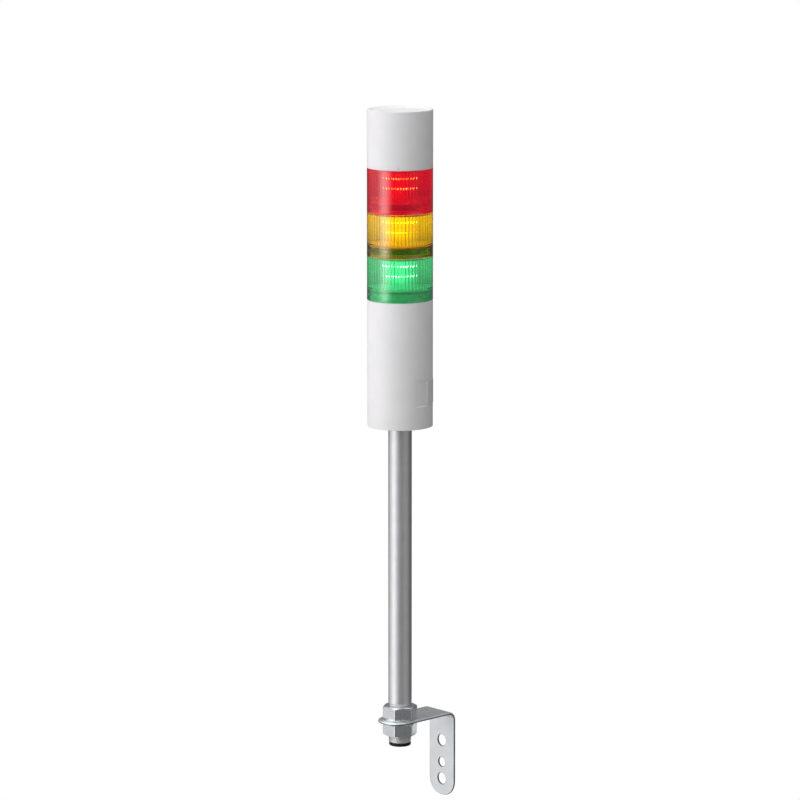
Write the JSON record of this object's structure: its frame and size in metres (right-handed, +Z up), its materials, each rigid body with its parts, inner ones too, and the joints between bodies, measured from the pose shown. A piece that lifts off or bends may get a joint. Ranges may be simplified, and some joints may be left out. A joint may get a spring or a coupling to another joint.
{
  "type": "stack light",
  "caption": "Stacked red, amber and green signal light with a white cap and case, on a pole clamped by nuts to a wall-mounted L bracket.",
  "frame": {"origin": "midway between the two wall bolts, on the bracket's wall face", "axes": "+Z up along the mast, +Y into the wall, +X along the bracket's width"},
  "size_m": [0.06, 0.0858, 0.649],
  "materials": {
    "plated_steel": "bright zinc plate on folded sheet",
    "plated_fasteners": "bright nickel plate",
    "pole_aluminium": "satin anodised",
    "cast_alloy": "die cast",
    "black_rubber": "soft matte",
    "seal_silicone": "soft translucent silicone",
    "white_plastic": "moulded, light satin gloss",
    "white_plate": "smooth film",
    "dark_plastic": "moulded",
    "terminal_plastic": "moulded",
    "circuit_board": "solder mask",
    "white_board": "white solder mask",
    "reflector_white": "moulded reflector",
    "red_lens": "clear tinted, fluted inside",
    "amber_lens": "clear tinted, fluted inside",
    "green_lens": "clear tinted, fluted inside",
    "red_light": "lit chip",
    "amber_light": "lit chip",
    "green_light": "lit chip"
  },
  "bodies": {
    "bracket": {"l_bracket": "plated_steel"},
    "mast": {"upper_washer": "plated_fasteners", "lower_washer": "plated_fasteners", "upper_nut": "plated_fasteners", "lower_nut": "plated_fasteners", "pole": "pole_aluminium", "end_bush": "black_rubber", "case_shell": "white_plastic", "blank_plate": "white_plate", "pole_flange": "cast_alloy", "flange_screws": "plated_fasteners", "set_screw": "plated_fasteners", "control_board": "circuit_board", "terminal_block": "terminal_plastic", "case_contact_board": "circuit_board", "case_seal_ring": "seal_silicone"},
    "head_unit": {"head_cap": "white_plastic", "head_carrier": "dark_plastic", "sounder_board": "circuit_board", "sounder": "dark_plastic"},
    "green_unit": {"green_lens": "green_lens", "green_carrier": "reflector_white", "green_light_drum": "reflector_white", "green_light_chips": "green_light", "green_contact_board": "white_board", "green_seal_ring": "seal_silicone"},
    "amber_unit": {"amber_lens": "amber_lens", "amber_carrier": "reflector_white", "amber_light_drum": "reflector_white", "amber_light_chips": "amber_light", "amber_contact_board": "white_board", "amber_seal_ring": "seal_silicone"},
    "red_unit": {"red_lens": "red_lens", "red_carrier": "reflector_white", "red_light_drum": "reflector_white", "red_light_chips": "red_light", "red_contact_board": "white_board", "red_seal_ring": "seal_silicone"}
  },
  "joints": [
    {"name": "mast_swivel", "type": "hinge", "parent": "bracket", "child": "mast", "pos_m": [0, -0.0558, 0.0492], "axis": [0, 0, 1], "continuous": true},
    {"name": "green_twist", "type": "hinge", "parent": "mast", "child": "green_unit", "pos_m": [0, -0.0558, 0.4418], "axis": [0, 0, 1], "range_deg": [0, 20]},
    {"name": "amber_twist", "type": "hinge", "parent": "green_unit", "child": "amber_unit", "pos_m": [0, -0.0558, 0.4818], "axis": [0, 0, 1], "range_deg": [0, 20]},
    {"name": "red_twist", "type": "hinge", "parent": "amber_unit", "child": "red_unit", "pos_m": [0, -0.0558, 0.5218], "axis": [0, 0, 1], "range_deg": [0, 20]},
    {"name": "head_twist", "type": "hinge", "parent": "red_unit", "child": "head_unit", "pos_m": [0, -0.0558, 0.5618], "axis": [0, 0, 1], "range_deg": [0, 20]}
  ]
}
